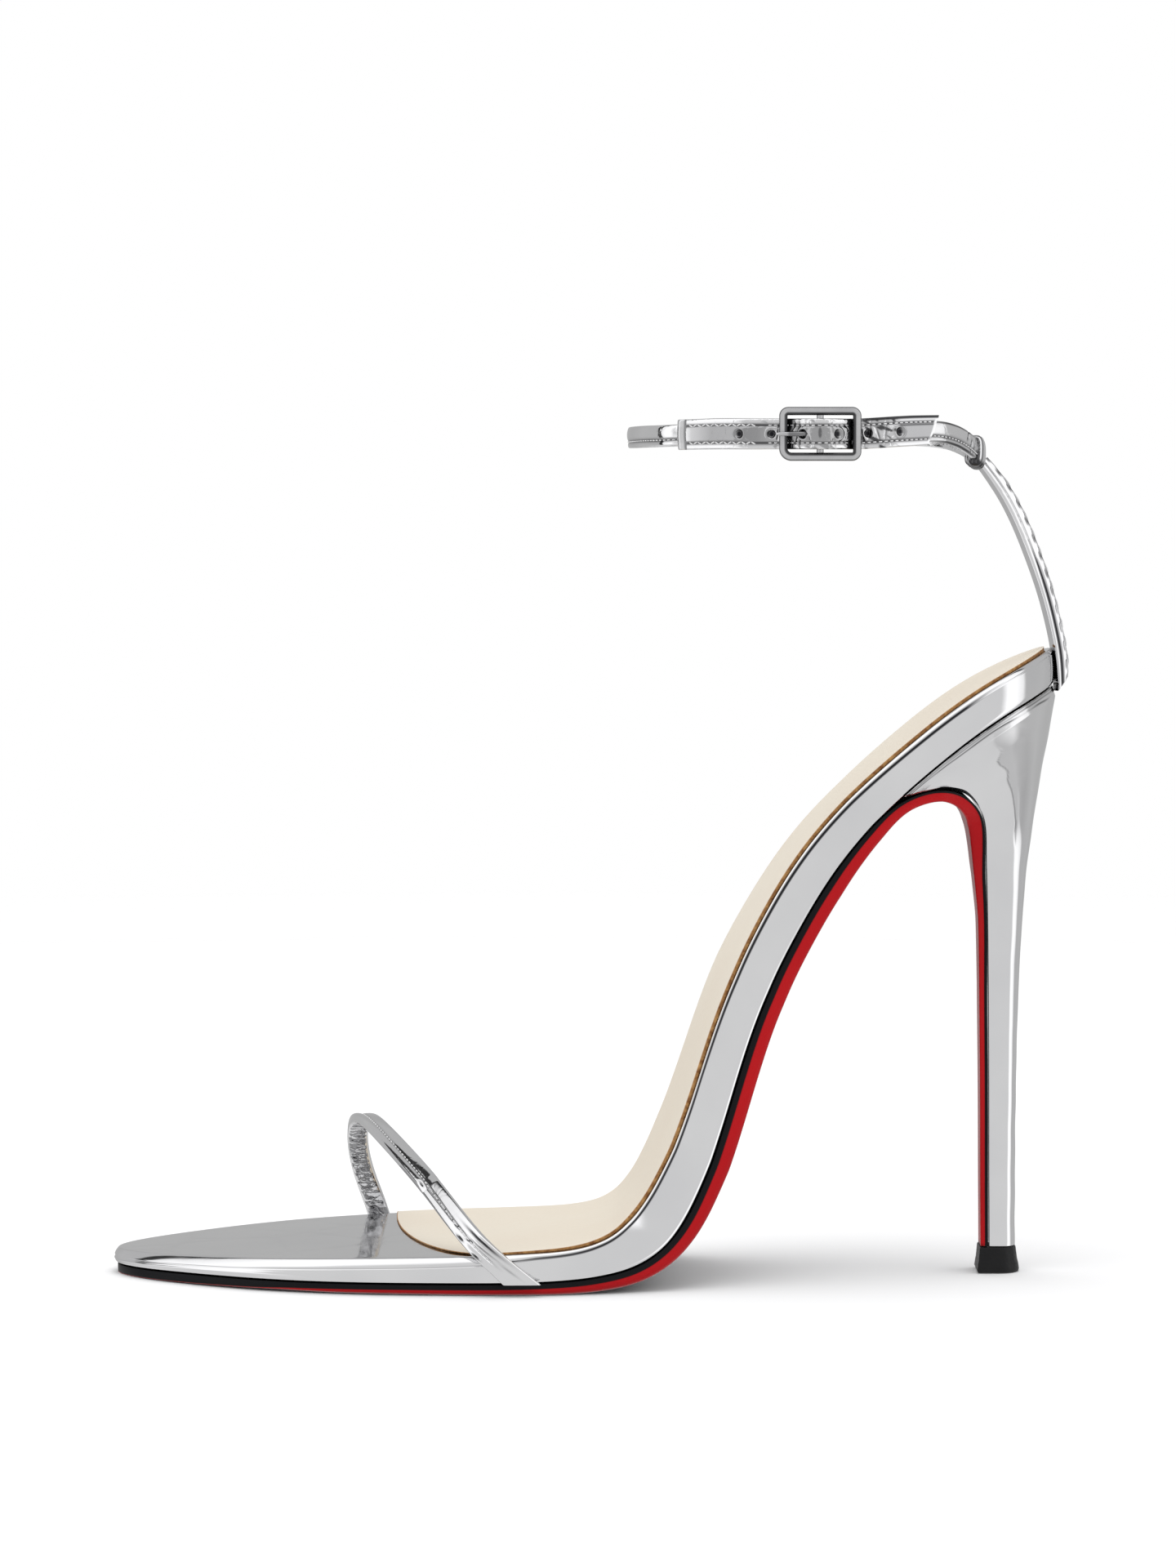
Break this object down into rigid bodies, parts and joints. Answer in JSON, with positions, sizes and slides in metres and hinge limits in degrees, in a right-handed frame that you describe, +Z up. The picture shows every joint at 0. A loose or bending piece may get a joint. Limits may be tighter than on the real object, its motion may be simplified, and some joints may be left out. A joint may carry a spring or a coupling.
{
  "type": "high heel sandal",
  "caption": "High heel sandal with a slim toe strap, a buckled ankle strap on a heel strap, a steep arch and a tall slim covered heel.",
  "frame": {"origin": "on the floor, under the middle of the shoe's bounding box", "axes": "+X from toe to heel, +Y from the outer (buckle) side to the inner side, +Z up from the floor"},
  "size_m": [0.192, 0.0792, 0.174],
  "materials": {
    "silver_leather": "mirror metallic",
    "red_sole": "lacquered, black edge",
    "cream_lining": "smooth",
    "fibre_board": "matt",
    "black_tip": "matt",
    "buckle_metal": "polished"
  },
  "bodies": {
    "root": {"outsole": "red_sole", "insole_board": "fibre_board", "insole_cover": "silver_leather", "sock_lining": "cream_lining", "heel": "silver_leather", "heel_tip": "black_tip", "toe_strap": "silver_leather", "ankle_strap": "silver_leather", "buckle_frame": "buckle_metal", "buckle_prong": "buckle_metal"}
  },
  "joints": []
}
